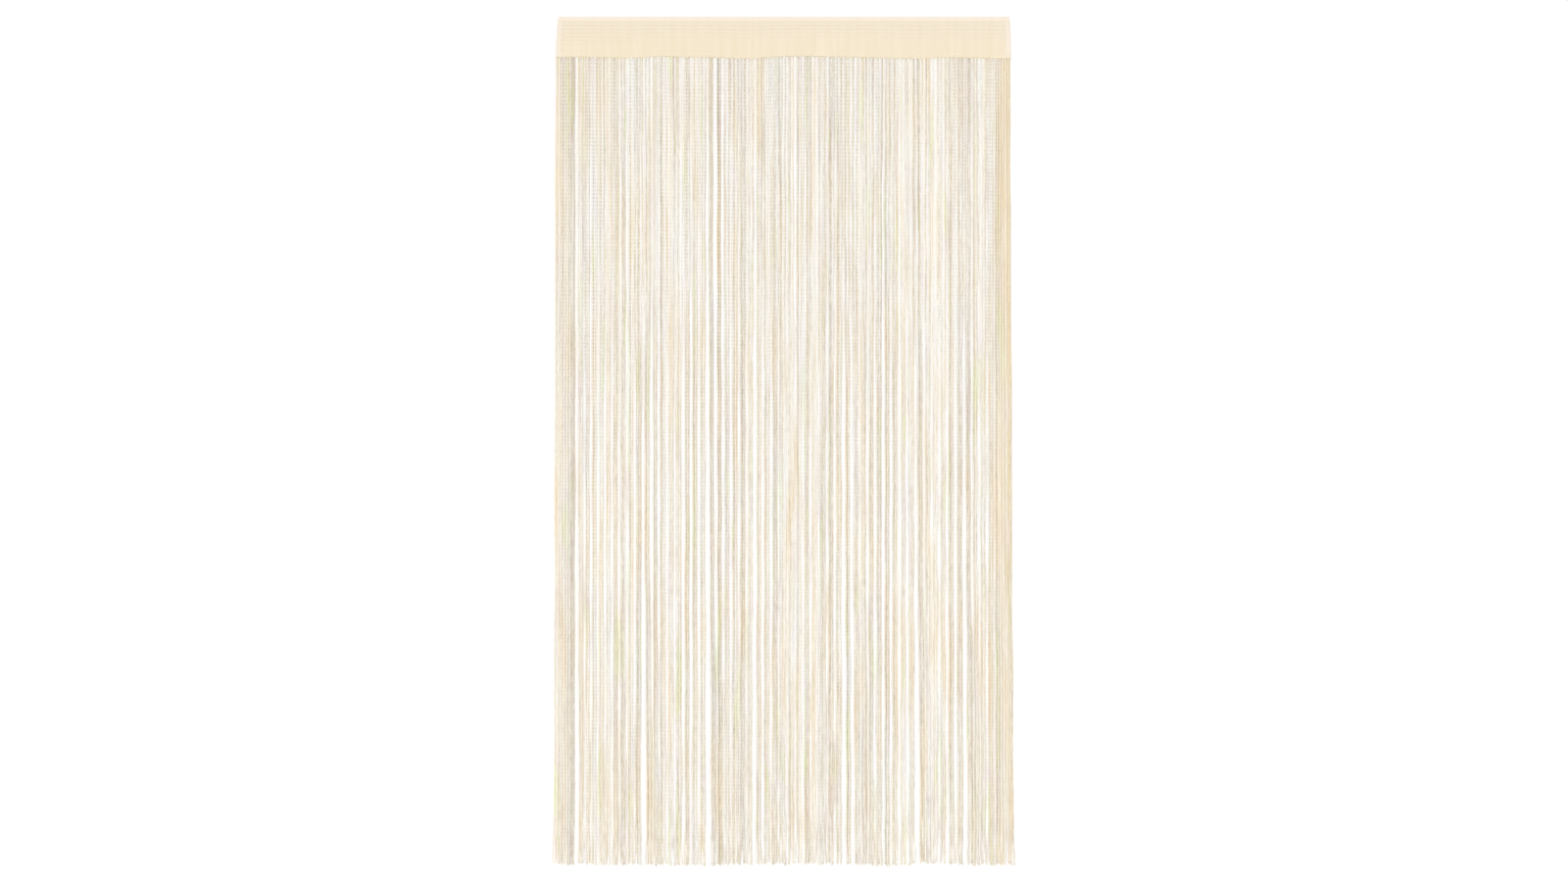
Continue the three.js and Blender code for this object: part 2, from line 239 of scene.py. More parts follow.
# How much shorter than the full drop the strings end, along the width
STRING_ENDS = [
    {"at": -540, "short": 6},
    {"at": -400, "short": 5},
    {"at": -345, "short": 5},
    {"at": -300, "short": 2},
    {"at": -220, "short": 2},
    {"at": -120, "short": 5},
    {"at": 100, "short": 6},
    {"at": 195, "short": 5},
    {"at": 225, "short": 2},
    {"at": 280, "short": 2},
    {"at": 325, "short": 9},
    {"at": 390, "short": 7},
    {"at": 465, "short": 3},
    {"at": 540, "short": 6},
]
END_VARIES = 3
END_FLICK = 1.1

# The usual sine hash: how far a count and a salt turn the sine, and how far the sine is stretched
SINE_HASH = {"count": 127.1, "salt": 311.7, "stretch": 43758.5453}

# Keeps the scatter of one trait apart from that of another. The first three take one salt for each level,
# and a wander or a curl takes two.
SALT = {
    "gather": 0,
    "sideways": 10,
    "outward": 20,
    "flick": 30,
    "end": 40,
    "lock_tone": 50,
    "string_tone": 51,
    "lock_courses": 52,
    "string_courses": 53,
    "lock_wander": 60,
    "wander_sideways": 62,
    "curl_sideways": 64,
    "wander_outward": 66,
    "curl_outward": 68,
    "fibre_length": 70,
    "fibre_turn": 71,
    "fibre_lean": 72,
}

# Ridges of the knit: which way they repeat, how far apart, how bent and how strong. The cloth's wales are
# about 1 mm apart and the yarn's own loops under 1 mm. Both are drawn coarser, so that they show.
WALES = {"direction": "X", "pitch": 2.4, "distortion": 0.6, "strength": 0.25}
LOOPS = {"direction": "DIAGONAL", "pitch": 2.2, "distortion": 1.5, "strength": 0.3}
RIDGE_HEIGHT = 0.4
# A wave texture turns its bands by this many radians for each unit of its scaled coordinates
BANDS_TURN = 20

# Soft patches of tone: their size along X, Y and Z, and how fine their detail is
CLOTH_STREAKS = {"size": (16.67, 1000, 200), "detail": 3}
YARN_DRIFT = {"size": (3.846, 3.846, 250), "detail": 2}
YARN_SLUBS = {"size": (3.333, 3.333, 18.18), "detail": 3}
THREAD_PATCHES = {"size": (11.11, 11.11, 11.11), "detail": 2}

# Colours over those patches, each a place from 0 to 1 and the colour there
CLOTH_CREAMS = [(0.3, "#E6D8BB"), (0.5, "#E8DAC1"), (0.7, "#EBDEC6")]
YARN_CREAMS = [(0, "#FFFEF7"), (0.35, "#F9F7EE"), (0.65, "#EFEBDF"), (1, "#DBD6C9")]
TAPE_YARN_CREAMS = [(0.35, "#EFE2C6"), (0.65, "#F3E8CF")]
THREAD_CREAMS = [(0.35, "#F0E3BF"), (0.65, "#F6ECCF")]

# The yarn's tone: its string's own, with so much of the drift and the slubs, less about what those add
YARN_TONE = {"drift": 0.9, "slubs": 1.5, "less": 1.25}

# Tints of the dye in patches about as wide as a lock: one casts it green, mauve or pink, and one makes it
# cool or warm. Each starts at its own place in the noise.
CAST_TINTS = [
    (0.34, "#F4F9DC"),
    (0.42, "#FAF1FA"),
    (0.5, "#FFFFFF"),
    (0.58, "#FFF7F3"),
    (0.7, "#FDF6E6"),
]
WARMTH_TINTS = [(0.3, "#FCFEFF"), (0.5, "#FEFCF9"), (0.7, "#FBF3E5")]
YARN_TINTS = [
    {"share": 0.65, "tints": CAST_TINTS, "start": (3, 5, 7)},
    {"share": 1, "tints": WARMTH_TINTS, "start": (11, 2, 5)},
]
YARN_DYE = {"size": (20, 20, 333.3), "detail": 2}

# Colours laid over the cream by an attribute of the piece, and how much of them shows where that is 1
# Painted shade in the grooves between the ribs
GROOVE_SHADE = {"share": 0.6, "colour": "#D8CAAF"}
# Painted highlight on the fold at the top, and paler cloth where it lies doubled on the hems
HEMS_AND_FOLD_HIGHLIGHT = {"share": 0.7, "colour": "#EEE3D5"}
WHERE_YELLOW = {"share": 0.75, "colour": "#F4E1BC"}

# Painted shade at the waist between two courses: its colour, how much of it shows, and how the drift makes
# it patchy
WAIST_SHADE = {"share": 0.48, "colour": "#C2B7A2", "by_drift": 3, "less": 0.5}

# Finishes, by the names of the shader's inputs
CLOTH_FINISH = {"Roughness": 0.85, "Sheen Weight": 0.2, "Sheen Roughness": 0.5}
YARN_FINISH = {"Roughness": 0.85, "Sheen Weight": 0.5, "Sheen Roughness": 0.5}
THREAD_FINISH = {"Roughness": 0.8, "Sheen Weight": 0.2}

# Photograph: 1600 by 900 pixels, face on
PHOTO = {"width": 1600, "height": 900, "pixel": 2.3095, "middle": 799.1, "top_edge": 16.9}
CAMERA_DISTANCE = 10000
SENSOR = 36

# Studio. A sun's tilt is from straight above towards the front, and its turn to the right, in degrees.
FLOOR_BELOW_STRINGS = 300
FLOOR_RADIUS = 60000
FLOOR_SIDES = 64
FLOOR_PAINT = "#FAFAFA"
FLOOR_ROUGHNESS = 0.9
SURROUND_LIGHT = 0.83
SURROUND_SEEN = 1.05
SUN_SOFTNESS = 40
SUNS = [
    {"name": "key_light", "strength": 0.6, "tilt": 50, "turn": -30},
    {"name": "fill_light", "strength": 0.25, "tilt": 65, "turn": 40},
    {"name": "back_light", "strength": 0.9, "tilt": -50, "turn": 10},
]


def scatter(count, salt):
    """A repeatable scatter between -1 and 1 for a counted thing."""
    hashed = np.sin(count * SINE_HASH["count"] + salt * SINE_HASH["salt"]) * SINE_HASH["stretch"]
    return 2 * (hashed - np.floor(hashed)) - 1


def scatter_share(count, salt):
    """The same scatter, between 0 and 1."""
    return (scatter(count, salt) + 1) / 2


def between(start, end, share):
    """A value some share of the way from a start to an end."""
    return start + (end - start) * share


def smooth(share):
    """A share between 0 and 1 that starts and ends gently."""
    share = np.clip(share, 0, 1)
    return share * share * (3 - 2 * share)


def nearing(place, edge, reach):
    """0 up to a reach short of an edge, then rising to 1 at the edge."""
    return smooth((place - edge + reach) / reach)


def near_side(at, reach):
    """1 at either side of the heading, falling to 0 at a reach from it."""
    return nearing(abs(at), HALF_WIDTH, reach)


def along_table(rows, column, at):
    """One column of a table, read between its rows."""
    return np.interp(at, [row["at"] for row in rows], [row[column] for row in rows])


def edge_drop(at):
    """How far the heading's lower edge drops at a place across the width."""
    return along_table(HEADING_EDGE, "drop", at)


def linear(hex_colour):
    """An sRGB hex colour as the linear colour that a shader takes, by the curve that defines sRGB."""
    srgb = [int(hex_colour[i : i + 2], 16) / 255 for i in (1, 3, 5)]
    return tuple(c / 12.92 if c <= 0.04045 else ((c + 0.055) / 1.055) ** 2.4 for c in srgb) + (1.0,)


def add_node(tree, kind, settings=None, inputs=None, stops=None):
    """Adds a node with its settings, its inputs as values or as what feeds them, and its colour stops."""
    node = tree.nodes.new(kind)
    for name, value in (settings or {}).items():
        setattr(node, name, value)
    for name, value in (inputs or {}).items():
        if isinstance(value, bpy.types.Node):
            value = next(socket for socket in value.outputs if socket.enabled)
        if isinstance(value, bpy.types.NodeSocket):
            tree.links.new(value, node.inputs[name])
        else:
            node.inputs[name].default_value = value
    if stops:
        # A new ramp has two stops. One goes, the other is moved, and the rest are added in their order.
        elements = node.color_ramp.elements
        elements.remove(elements[1])
        elements[0].position = stops[0][0]
        for position, _ in stops[1:]:
            elements.new(position)
        for element, (_, colour) in zip(elements, stops):
            element.color = linear(colour)
    return node


def new_material(name):
    """An empty node material and its tree."""
    material = bpy.data.materials.new(name)
    material.use_nodes = True
    material.node_tree.nodes.clear()
    return material, material.node_tree


def add_surface(tree, inputs):
    """The shader with its inputs, and the output that shows it."""
    shader = add_node(tree, "ShaderNodeBsdfPrincipled", inputs=inputs)
    add_node(tree, "ShaderNodeOutputMaterial", inputs={"Surface": shader})


# Meshes: a bmesh made into an object, and many copies of one small mesh joined into an object

# A cone or prism one unit high is made around its middle, so its top is this high
UNIT_TOP = 0.5
# Points of such a shape that are closer than this are one point
MERGE_WITHIN = 0.001


def object_of(mesh, name, material):
    """A finished mesh as a smooth object of one material."""
    mesh.shade_smooth()
    mesh.materials.append(material)
    made = bpy.data.objects.new(name, mesh)
    bpy.context.scene.collection.objects.link(made)
    return made


def object_of_bmesh(name, bm, material):
    """A bmesh in millimetres made into an object in metres."""
    mesh = bpy.data.meshes.new(name)
    bm.to_mesh(mesh)
    bm.free()
    mesh.transform(Matrix.Scale(MM, 4))
    return object_of(mesh, name, material)


def unit_of(bm):
    """A small mesh to be copied: its points, its faces' corners and where each face starts among them."""
    bm.verts.index_update()
    faces = [[vert.index for vert in face.verts] for face in bm.faces]
    unit = {
        "points": np.array([vert.co for vert in bm.verts], float),
        "corners": np.concatenate(faces),
        "starts": np.cumsum([0] + [len(face) for face in faces[:-1]]),
    }
    bm.free()
    return unit


def joined_copies(name, unit, points, material, attributes=None):
    """One object of copies of a unit. The points are in place already, as copies by points by x, y and z."""
    copies, count = points.shape[:2]
    copy = np.arange(copies)[:, None]
    corners = unit["corners"] + count * copy
    starts = unit["starts"] + len(unit["corners"]) * copy
    mesh = bpy.data.meshes.new(name)
    mesh.vertices.add(copies * count)
    mesh.vertices.foreach_set("co", (points * MM).astype(np.float32).ravel())
    mesh.loops.add(corners.size)
    mesh.loops.foreach_set("vertex_index", corners.astype(np.int32).ravel())
    mesh.polygons.add(starts.size)
    mesh.polygons.foreach_set("loop_start", starts.astype(np.int32).ravel())
    mesh.update(calc_edges=True)
    for key, values in (attributes or {}).items():
        layer = mesh.attributes.new(key, "FLOAT", "POINT")
        layer.data.foreach_set("value", np.broadcast_to(values, (copies, count)).astype(np.float32).ravel())
    return object_of(mesh, name, material)


# Heading


def half_thickness(below):
    """From the middle plane to the outer face: round at the fold, then drawn together to the seam."""
    if below < FOLD_RADIUS:
        return math.sqrt(max(0, FOLD_RADIUS**2 - (FOLD_RADIUS - below) ** 2))
    closing = smooth((below - FOLD_RADIUS) / (SEWN_FROM - FOLD_RADIUS))
    opening = smooth((below - OVER_TAPE["from"]) / (HEADING_HEIGHT - OVER_TAPE["from"]))
    return between(FOLD_RADIUS, SEWN_HALF_THICKNESS, closing) + OVER_TAPE["opens"] * opening


def groove_depth(at, below):
    """1 along the bottom of a groove between two ribs and 0 on a rib, fading out down the heading."""
    if below < RIB_FIRST - RIB_PITCH:
        return 0
    at_left = 1 - smooth((at + HALF_WIDTH) / RIBS_FADE["reach"])
    end = between(RIBS_FADE["to"], RIBS_FADE["to_at_left"], at_left)
    fade = 1 - smooth((below - RIBS_FADE["from"]) / (end - RIBS_FADE["from"]))
    hollow = 0.5 - 0.5 * math.cos(2 * math.pi * (below - RIB_FIRST) / RIB_PITCH)
    return fade * hollow**GROOVE_POWER


def hem_share(at):
    """1 on the turned hem at each end of the heading and 0 on the cloth between them."""
    return smooth((abs(at) - HALF_WIDTH + HEM_WIDTH) / HEM_EDGE)


def corner_pull(at, below):
    """How far the upper corners are drawn in by the cloth's own tension."""
    side = CORNER_PULL["left"] if at < 0 else CORNER_PULL["right"]
    high = max(0, 1 - below / CORNER_PULL["depth"]) ** CORNER_PULL["power"]
    return -np.sign(at) * side * near_side(at, CORNER_PULL["reach"]) * high


def drawn_in(at):
    """How far the ends of the heading and its tape are drawn in over their whole height."""
    side = DRAWN_IN["left"] if at < 0 else DRAWN_IN["right"]
    return -np.sign(at) * side * near_side(at, DRAWN_IN["reach"])


def heading_point(at, below, side):
    """A point of the cloth's outer face. side is -1 on the front and 1 on the back."""
    lower_edge = HEADING_HEIGHT + OVER_TAPE["reach"]
    puckered = nearing(below, lower_edge, PUCKER["reach"])
    scalloped = nearing(below, lower_edge, SCALLOP["reach"])
    relief = PUCKER["height"] * puckered * math.cos(2 * math.pi * at / PUCKER["pitch"])
    relief -= RIB_HEIGHT * groove_depth(at, below)
    relief += HEM_HEIGHT * hem_share(at)
    scallop = SCALLOP["height"] * scalloped * math.cos(2 * math.pi * at / SCALLOP["pitch"])
    down = below + edge_drop(at) * smooth(below / HEADING_HEIGHT) + scallop
    out = half_thickness(below) + relief * smooth(below / FOLD_RADIUS)
    return Vector((at + corner_pull(at, below) + drawn_in(at), side * out, -down))


def heading_columns():
    """Places across the heading, close together at the hems' edges."""
    inner = HALF_WIDTH - HEM_WIDTH
    hem = [inner + HEM_EDGE / 2, inner + HEM_EDGE, HALF_WIDTH - HEM_EDGE, HALF_WIDTH]
    plain = np.linspace(-inner, inner, round(2 * inner / CLOTH_STEP_ACROSS))
    return [-at for at in reversed(hem)] + list(plain) + hem


def heading_rows():
    """Heights on the cloth as (side, below), up the front, over the fold and down the back."""
    lower_edge = HEADING_HEIGHT + OVER_TAPE["reach"]
    steps = round((lower_edge - FOLD_RADIUS) / CLOTH_STEP_DOWN)
    flat = np.linspace(lower_edge, FOLD_RADIUS, steps)
    turns = [math.pi / 2 * step / FOLD_STEPS for step in range(1, FOLD_STEPS)]
    fold = [FOLD_RADIUS * (1 - math.sin(turn)) for turn in turns]
    face = [*flat, *fold]
    return [(-1, below) for below in face] + [(-1, 0)] + [(1, below) for below in reversed(face)]


def heading_cloth(material):
    """The knitted cloth with its pocket fold, ribs and end hems, given its wall by a modifier."""
    columns = heading_columns()
    rows = heading_rows()
    bm = bmesh.new()
    bmesh.ops.create_grid(bm, x_segments=len(columns) - 1, y_segments=len(rows) - 1, size=1)
    groove = bm.verts.layers.float.new("groove")
    stretched = bm.verts.layers.float.new("stretched")
    for vert in bm.verts:
        at = columns[round((vert.co.x + 1) / 2 * (len(columns) - 1))]
        side, below = rows[round((vert.co.y + 1) / 2 * (len(rows) - 1))]
        vert.co = heading_point(at, below, side)
        # How deep the groove is, which also sets the painted shade in it
        vert[groove] = groove_depth(at, below)
        # Painted highlight on the fold at the top, and paler where the cloth lies doubled on the hems
        vert[stretched] = max(hem_share(at), along_table(FOLD_HIGHLIGHT, "share", below))
    cloth = object_of_bmesh("heading_cloth", bm, material)
    wall = cloth.modifiers.new("wall", "SOLIDIFY")
    wall.thickness = WALL * MM
    wall.offset = -1
    return cloth


# Tape and stitches


def side_edges(bm):
    """The long edges of an upright prism: the ones whose two ends differ in height."""
    return [edge for edge in bm.edges if edge.verts[0].co.z != edge.verts[1].co.z]


def string_tape(material):
    """The strip that holds the strings: a flat tape with rounded edges along the heading's lower edge."""
    bm = bmesh.new()
    bmesh.ops.create_cone(bm, cap_ends=True, segments=TAPE_SIDES, radius1=1, radius2=1, depth=1)
    cuts = round(2 * HALF_WIDTH / TAPE_STEP)
    bmesh.ops.subdivide_edges(bm, edges=side_edges(bm), cuts=cuts, use_grid_fill=True)
    bmesh.ops.rotate(bm, verts=bm.verts, matrix=Matrix.Rotation(math.pi / 2, 3, "Y"))
    height = TAPE_HEIGHT + TAPE_OVERHANG
    middle = HEADING_HEIGHT + PARTING + height / 2
    for vert in bm.verts:
        at = vert.co.x * 2 * HALF_WIDTH
        out, up = np.sign(vert.co.yz) * np.abs(vert.co.yz) ** TAPE_ROUNDING
        vert.co = (at + drawn_in(at), out * TAPE_HALF_THICKNESS, up * height / 2 - middle - edge_drop(at))
    return object_of_bmesh("string_tape", bm, material)


def stitch_row(name, places, stitch, material):
    """One small rounded stitch at each place, leaning to the right."""
    bm = bmesh.new()
    around, along = STITCH_FACETS["around"], STITCH_FACETS["along"]
    bmesh.ops.create_uvsphere(bm, u_segments=around, v_segments=along, radius=1)
    bmesh.ops.scale(bm, verts=bm.verts, vec=stitch["half_size"])
    bmesh.ops.rotate(bm, verts=bm.verts, matrix=Matrix.Rotation(math.radians(stitch["lean"]), 3, "Y"))
    unit = unit_of(bm)
    return joined_copies(name, unit, np.array(places)[:, None, :] + unit["points"], material)


def seam_places():
    """Along the heading's lower edge, on both faces."""
    count = int(2 * HALF_WIDTH / SEAM_STITCH_PITCH)
    across = [(number + 0.5 - count / 2) * SEAM_STITCH_PITCH for number in range(count)]
    return [heading_point(at, SEAM_BELOW, side) for side in (-1, 1) for at in across]


def whip_places(strings):
    """On the heading's lower edge in front of and behind every string's root."""
    roots = strings["x"][:, ROOT_LEVEL]
    return [heading_point(at, WHIP_BELOW, side) for side in (-1, 1) for at in roots]


# Strings: their locks, their centre lines and the meshes laid along them


def all_locks():
    """Every lock in turn, with its stretch, its yarn, its place and the number of its first string."""
    locks = []
    first_string = 0
    for stretch, yarn in zip(STRETCHES, STRETCH_YARN):
        pitch = (stretch["to"] - stretch["from"]) / stretch["locks"]
        for place in range(stretch["locks"]):
            own = {
                "number": len(locks),
                "middle": stretch["from"] + pitch * (place + 0.5),
                "pitch": pitch,
                "spacing": pitch / stretch["strings"],
                "first": first_string,
            }
            locks.append({**stretch, **yarn, **own})
            first_string += stretch["strings"]
    return locks


def varied(trait, level, count):
    """A trait at a level, varied for one counted string or lock."""
    value, varies = LEVELS[level][trait]
    return value + varies * scatter(count, SALT[trait] + level)


def gather_of(lock, level):
    """How far the lock's strings are drawn together at a level, from 0 to 1."""
    odd = [row for row in ODD_LOCKS if abs(row["at"] - lock["middle"]) < lock["pitch"] / 2]
    if not odd:
        return lock["gathers"] * varied("gather", level, lock["number"])
    if level == ROOT_LEVEL:
        return odd[0]["top"] * ODD_GATHER_AT_ROOT
    if level == END_LEVEL:
        return odd[0]["low"] * ODD_GATHER_AT_END
    return odd[0].get(LEVELS[level]["name"], 0)


def slit_shift(middle, level):
    """How far a lock is moved sideways by the wide slits near it."""
    name = LEVELS[level]["name"]
    if name not in SLIT_DRIFTED:
        return 0
    shift = 0
    for slit in WIDE_SLITS:
        away = middle - slit["at"]
        near = max(0, 1 - abs(away) / SLIT_REACH)
        wider = slit["middle"] if name == "middle" else slit["low"]
        shift += near * (slit["drift"] * SLIT_DRIFTED[name] + np.sign(away) * wider / 2)
    return shift


def outer_shift(at, level):
    """The outer strings hang outwards, and the outermost flick out at their ends."""
    spread = OUTER_SPREAD["left"] if at < 0 else OUTER_SPREAD["right"]
    drift = spread * near_side(at, OUTER_SPREAD["reach"]) * LEVELS[level]["share"]
    flick = OUTER_FLICK["strength"] * near_side(at, OUTER_FLICK["reach"]) if level == END_LEVEL else 0
    return np.sign(at) * (drift + flick)


def string_place(lock, place, level):
    """Where a string of a lock is at a level: across the width, and before or behind the middle plane."""
    number = lock["first"] + place
    from_middle = (place - (lock["strings"] - 1) / 2) * lock["spacing"]
    in_lock = from_middle * (1 - gather_of(lock, level)) + varied("sideways", level, number)
    flick = END_FLICK * scatter(number, SALT["flick"]) if level == END_LEVEL else 0
    outer = outer_shift(lock["middle"] + from_middle, level)
    stands = ROW_OFFSET + varied("outward", level, number)
    x = lock["middle"] + in_lock + slit_shift(lock["middle"], level) + outer + flick
    return x, -stands if number % 2 == 0 else stands


def string_facts(lock, place):
    """What is known of one string: where it hangs at each level, where it starts and ends, and its yarn."""
    number = lock["first"] + place
    places = [string_place(lock, place, level) for level in range(len(LEVELS))]
    root = places[ROOT_LEVEL][0]
    short = along_table(STRING_ENDS, "short", root) + END_VARIES * scatter(number, SALT["end"])
    own_courses = COURSES_VARY["lock"] * scatter(lock["number"], SALT["lock_courses"])
    own_courses += COURSES_VARY["string"] * scatter(number, SALT["string_courses"])
    return {
        "number": number,
        "lock": lock["number"],
        "x": [x for x, y in places],
        "y": [y for x, y in places],
        "top": ROOT_DEPTH - HEADING_HEIGHT - PARTING - TAPE_HEIGHT - edge_drop(root),
        "end": -DROP + max(0, short),
        "tone": lock["tone"] + TONE_VARIES["lock"] * scatter(lock["number"], SALT["lock_tone"]),
        "own_tone": scatter(number, SALT["string_tone"]),
        "inner": min(place, lock["strings"] - 1 - place) - MEAN_FROM_SIDE,
        "gather": [gather_of(lock, level) for level in range(len(LEVELS))],
        "yellow": lock["yellow"],
        "stitch": np.clip(lock["courses"] + own_courses, COURSES_VARY["least"], COURSES_VARY["most"]),
    }


def all_strings():
    """Every string's facts, each fact as one array."""
    facts = [string_facts(lock, place) for lock in all_locks() for place in range(lock["strings"])]
    return {key: np.array([string[key] for string in facts]) for key in facts[0]}


def eased(values, shares):
    """Values at the levels, read at shares of the length without a kink at a level."""
    heights = np.array([level["share"] for level in LEVELS])
    above = np.clip(np.searchsorted(heights, shares, side="right") - 1, 0, END_LEVEL - 1)
    part = smooth((shares - heights[above]) / (heights[above + 1] - heights[above]))
    upper = np.take_along_axis(values, above, axis=1)
    lower = np.take_along_axis(values, above + 1, axis=1)
    return between(upper, lower, part)


def wave(counts, kind, trait, down):
    """A slow wave of some kind down each string, with its own length and start."""
    length = between(kind["shortest"], kind["longest"], scatter_share(counts, SALT[trait]))
    start = math.pi * scatter(counts, SALT[trait] + 1)
    return kind["width"] * np.sin(2 * math.pi * down / length[:, None] + start[:, None])


def string_lines(strings, down):
    """Centre line of every string at distances down it: x, y and z, each as strings by distances."""
    shares = down / (strings["top"] - strings["end"])[:, None]
    free = smooth(shares / FREE_FROM_SHARE)
    loose = np.clip((shares - CURL["from_share"]) / (1 - CURL["from_share"]), 0, 1) ** CURL["power"]
    wider = 1 + LOCK_WANDER["wider_low_down"] * shares ** LOCK_WANDER["power"]
    x = eased(strings["x"], shares)
    x += free * wider * wave(strings["lock"], LOCK_WANDER, "lock_wander", down)
    x += free * wave(strings["number"], STRING_WANDER, "wander_sideways", down)
    x += loose * wave(strings["number"], CURL, "curl_sideways", down)
    y = eased(strings["y"], shares)
    y += free * wave(strings["number"], STRING_WANDER, "wander_outward", down)
    y += loose * wave(strings["number"], CURL, "curl_outward", down)
    return x, y, strings["top"][:, None] - down


def string_rings(strings):
    """Distances down each string: a ring at each waist and at each crown between two waists."""
    length = strings["top"] - strings["end"]
    courses = int(np.mean(length) / COURSE)
    waists = np.arange(courses + 1) * COURSE
    crowns = (np.arange(courses) + CROWN_AT) * COURSE
    down = np.sort(np.concatenate([waists, crowns]))
    fitted = nearing(down, down[-1], END_FITTED_OVER)
    return down + (length - down[-1])[:, None] * fitted, np.isin(down, crowns)


def string_tones(strings, down):
    """How dark each string is down its length. Where a lock draws together, its inner strings are shaded."""
    tone, own_tone, inner = (strings[key][:, None] for key in ("tone", "own_tone", "inner"))
    low_down = smooth(down / TONE_VARIES["over"])
    varies = between(TONE_VARIES["string"], TONE_VARIES["string_low_down"], low_down)
    gather = eased(strings["gather"], down / down[:, -1:])
    shade = np.minimum(INNER_IS_DARKER["by_gather"] * gather, INNER_IS_DARKER["up_to"])
    return tone + varies * own_tone + shade * inner


def yellow_down(strings, down):
    """How yellow each string is down its length."""
    return strings["yellow"][:, None] * (1 - YELLOW_FADES["share"] * smooth(down / YELLOW_FADES["over"]))


def string_unit(rings):
    """A four-sided string, one unit high, with evenly spaced rings, to be laid along every string's line."""
    bm = bmesh.new()
    bmesh.ops.create_cone(bm, cap_ends=True, segments=STRING_SIDES, radius1=1, radius2=1, depth=1)
    bmesh.ops.subdivide_edges(bm, edges=side_edges(bm), cuts=rings - 2, use_grid_fill=True)
    return unit_of(bm)


def lay_strings(name, strings, material):
    """Some of the strings as one joined mesh."""
    down, is_crown = string_rings(strings)
    rings = len(is_crown)
    unit = string_unit(rings)
    corner_x, corner_y, height = unit["points"].T
    share_down = UNIT_TOP - height
    ring = np.rint(share_down * (rings - 1)).astype(int)
    x, y, z = string_lines(strings, down)
    stitch = strings["stitch"][:, None] * (1 - COURSES_FADE["share"] * smooth(down / COURSES_FADE["over"]))
    radius = STRING_RADIUS * (1 + SWELLING * stitch * np.where(is_crown, 1, -1))
    opened = smooth((down / down[:, -1:] - OPENS_LOW_DOWN["from"]) / (1 - OPENS_LOW_DOWN["from"]))
    radius *= 1 + OPENS_LOW_DOWN["share"] * opened
    radius[:, -1] *= TIP_SHARE
    points = np.stack(
        [
            x[:, ring] + radius[:, ring] * corner_x,
            y[:, ring] + radius[:, ring] * corner_y * STRING_FLATNESS,
            z[:, ring],
        ],
        axis=-1,
    )
    attributes = {
        "down": down[:, ring],
        "tone": string_tones(strings, down)[:, ring],
        "yellow": yellow_down(strings, down)[:, ring],
        "stitch": stitch[:, ring],
    }
    return joined_copies(name, unit, points, material, attributes)


def string_tips(strings, material):
    """The loose fibres at the cut end of every string."""
    bm = bmesh.new()
    bmesh.ops.create_cone(bm, cap_ends=True, segments=FIBRE_SIDES, radius1=0, radius2=1, depth=1)
    bmesh.ops.remove_doubles(bm, verts=bm.verts, dist=MERGE_WITHIN)
    unit = unit_of(bm)
    corner_x, corner_y, height = unit["points"].T
    share_down = UNIT_TOP - height
    down, _ = string_rings(strings)
    x, y, z = string_lines(strings, down)
    count = np.arange(len(strings["number"]) * FIBRES_AT_A_TIP)
    string = count // FIBRES_AT_A_TIP
    varies = scatter_share(count, SALT["fibre_length"])
    length = between(FIBRE_LENGTH["shortest"], FIBRE_LENGTH["longest"], varies)
    turn = math.pi * scatter(count, SALT["fibre_turn"])
    lean = FIBRE_LEAN * scatter_share(count, SALT["fibre_lean"])
    away = FIBRE_ROOT + (length * lean)[:, None] * share_down
    points = np.stack(
        [
            x[string, -1:] + FIBRE_RADIUS * corner_x + away * np.cos(turn)[:, None],
            y[string, -1:] + FIBRE_RADIUS * corner_y + away * np.sin(turn)[:, None],
            z[string, -1:] + FIBRE_SUNK - length[:, None] * share_down,
        ],
        axis=-1,
    )
    attributes = {
        "down": np.full((1, 1), DROP),
        # The fibres take their string's tone plus painted shade
        "tone": string_tones(strings, down)[string, -1:] + FIBRE_SHADE,
        "yellow": yellow_down(strings, down)[string, -1:],
        "stitch": np.zeros((1, 1)),
    }
    tips = joined_copies("string_tips", unit, points, material, attributes)
    # A smooth cone this thin would be shaded at its point as if it faced straight down
    tips.data.shade_flat()
    return tips


# Materials

# Inputs of a Mix node of colours: the share of the upper colour, the lower colour and the upper colour
SHARE = 0
UNDER = 6
OVER = 7


def add_patches(tree, place, size, detail, start=(0, 0, 0)):
    """Noise in soft patches of a size in millimetres, between 0 and 1 and mostly near the middle."""
    scaled = add_node(
        tree,
        "ShaderNodeMapping",
        inputs={"Vector": place, "Location": start, "Scale": [1 / (side * MM) for side in size]},
    )
    return add_node(tree, "ShaderNodeTexNoise", inputs={"Vector": scaled, "Scale": 1, "Detail": detail})


def add_ridges(tree, place, direction, pitch, distortion, strength):
    """Fine ridges of a knit at a pitch in millimetres, as a bump."""
    scale = 2 * math.pi / BANDS_TURN / (pitch * MM)
    ridges = add_node(
        tree,
        "ShaderNodeTexWave",
        {"wave_type": "BANDS", "bands_direction": direction, "wave_profile": "SIN"},
        {"Vector": place, "Scale": scale, "Distortion": distortion, "Detail": 1},
    ).outputs["Fac"]
    inputs = {"Height": ridges, "Strength": strength, "Distance": RIDGE_HEIGHT * MM}
    return add_node(tree, "ShaderNodeBump", inputs=inputs)


def laid_over(tree, under, attribute, share, colour):
    """A colour laid over another by an attribute of the piece."""
    value = add_node(tree, "ShaderNodeAttribute", {"attribute_name": attribute}).outputs["Fac"]
    part = add_node(tree, "ShaderNodeMath", {"operation": "MULTIPLY"}, {0: value, 1: share})
    inputs = {SHARE: part, UNDER: under, OVER: linear(colour)}
    return add_node(tree, "ShaderNodeMix", {"data_type": "RGBA"}, inputs)


